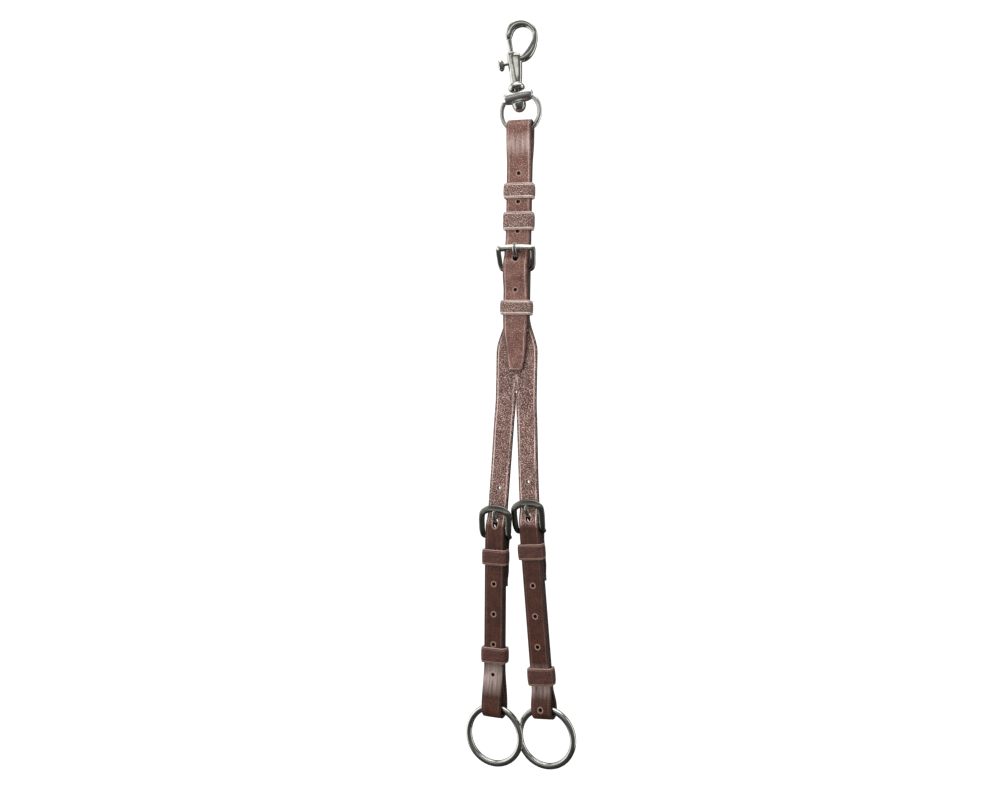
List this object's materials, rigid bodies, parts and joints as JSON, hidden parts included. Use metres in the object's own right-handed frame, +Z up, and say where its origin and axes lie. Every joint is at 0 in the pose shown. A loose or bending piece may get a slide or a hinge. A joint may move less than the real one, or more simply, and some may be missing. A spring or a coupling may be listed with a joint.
{
  "type": "martingale fork",
  "caption": "Leather martingale fork: bolt snap with a swivel eye, buckled strap slit into two arms, each buckled round a metal ring.",
  "frame": {"origin": "inside of the hook's crown, on the hook's middle plane, where the martingale hangs", "axes": "+Z up, away from the straps; the straps' faces look along -Y; +X to the right of someone who looks at their face"},
  "size_m": [0.0877, 0.0255, 0.5687],
  "materials": {
    "upper_leather": "waxed dark brown bridle leather, light sheen",
    "arm_leather": "waxed darker brown bridle leather, light sheen",
    "keeper_leather": "creased dark brown leather, semi-gloss",
    "nickel_plate": "polished nickel plate",
    "spring_steel": "bright drawn wire"
  },
  "bodies": {
    "snap": {"snap_body": "nickel_plate", "swivel_rivet": "nickel_plate", "bolt_spring": "spring_steel"},
    "bolt": {"snap_bolt": "nickel_plate", "bolt_thumb_stud": "nickel_plate"},
    "eye": {"swivel_eye": "nickel_plate"},
    "strap": {"fork_strap": "upper_leather", "top_buckle_frame": "nickel_plate", "top_buckle_chape": "upper_leather"},
    "top_tongue": {"top_buckle_tongue": "nickel_plate"},
    "upper_keeper": {"upper_keeper": "keeper_leather"},
    "middle_keeper": {"middle_keeper": "keeper_leather"},
    "neck_keeper": {"neck_keeper": "keeper_leather"},
    "left_arm": {"left_arm_strap": "arm_leather", "left_buckle_frame": "nickel_plate", "left_fixed_keeper": "keeper_leather"},
    "left_tongue": {"left_buckle_tongue": "nickel_plate"},
    "left_keeper": {"left_running_keeper": "keeper_leather"},
    "left_ring": {"left_ring": "nickel_plate"},
    "right_arm": {"right_arm_strap": "arm_leather", "right_buckle_frame": "nickel_plate", "right_fixed_keeper": "keeper_leather"},
    "right_tongue": {"right_buckle_tongue": "nickel_plate"},
    "right_keeper": {"right_running_keeper": "keeper_leather"},
    "right_ring": {"right_ring": "nickel_plate"}
  },
  "joints": [
    {"name": "bolt_slide", "type": "slide", "parent": "snap", "child": "bolt", "axis": [0.1564, 0, -0.9877], "range_m": [0, 0.0075], "stiffness_N_per_m": 400, "springref_m": -0.005, "deforming": ["bolt_spring"]},
    {"name": "swivel_turn", "type": "hinge", "parent": "snap", "child": "eye", "pos_m": [-0.0024, 0, -0.0532], "axis": [-0.1564, 0, 0.9877], "continuous": true},
    {"name": "strap_swing", "type": "hinge", "parent": "eye", "child": "strap", "pos_m": [-0.0004, 0, -0.0767], "axis": [1, 0, 0], "range_deg": [-30, 30]},
    {"name": "top_tongue_lift", "type": "hinge", "parent": "strap", "child": "top_tongue", "pos_m": [-0.0024, -0.0035, -0.1847], "axis": [0.9998, 0, -0.0187], "range_deg": [0, 6]},
    {"name": "upper_keeper_slide", "type": "slide", "parent": "strap", "child": "upper_keeper", "axis": [0.0187, 0, 0.9998], "range_m": [-0.003, 0.009]},
    {"name": "middle_keeper_slide", "type": "slide", "parent": "strap", "child": "middle_keeper", "axis": [0.0187, 0, 0.9998], "range_m": [-0.004, 0.004]},
    {"name": "neck_keeper_slide", "type": "slide", "parent": "strap", "child": "neck_keeper", "axis": [0.0187, 0, 0.9998], "range_m": [0, 0.005]},
    {"name": "left_arm_spread", "type": "hinge", "parent": "strap", "child": "left_arm", "pos_m": [-0.0122, 0.0017, -0.281], "axis": [0, 1, 0], "range_deg": [0, 18]},
    {"name": "left_tongue_lift", "type": "hinge", "parent": "left_arm", "child": "left_tongue", "pos_m": [-0.01884, 0.00504, -0.38672], "axis": [0.9873, -0.1564, -0.0272], "range_deg": [0, 6]},
    {"name": "left_keeper_slide", "type": "slide", "parent": "left_arm", "child": "left_keeper", "axis": [0.008, 0, 1], "range_m": [-0.002, 0.035]},
    {"name": "left_ring_swing", "type": "hinge", "parent": "left_arm", "child": "left_ring", "pos_m": [-0.02099, 0, -0.51914], "axis": [0.9877, -0.1564, 0], "range_deg": [-60, 0]},
    {"name": "right_arm_spread", "type": "hinge", "parent": "strap", "child": "right_arm", "pos_m": [0.0038, 0.0017, -0.281], "axis": [0, -1, 0], "range_deg": [0, 18]},
    {"name": "right_tongue_lift", "type": "hinge", "parent": "right_arm", "child": "right_tongue", "pos_m": [0.0079, 0.00504, -0.38154], "axis": [0.9852, -0.1564, 0.0701], "range_deg": [0, 6]},
    {"name": "right_keeper_slide", "type": "slide", "parent": "right_arm", "child": "right_keeper", "axis": [-0.0797, 0, 0.9968], "range_m": [0, 0.05]},
    {"name": "right_ring_swing", "type": "hinge", "parent": "right_arm", "child": "right_ring", "pos_m": [0.01951, 0, -0.51744], "axis": [0.9877, -0.1564, 0], "range_deg": [0, 60]}
  ]
}
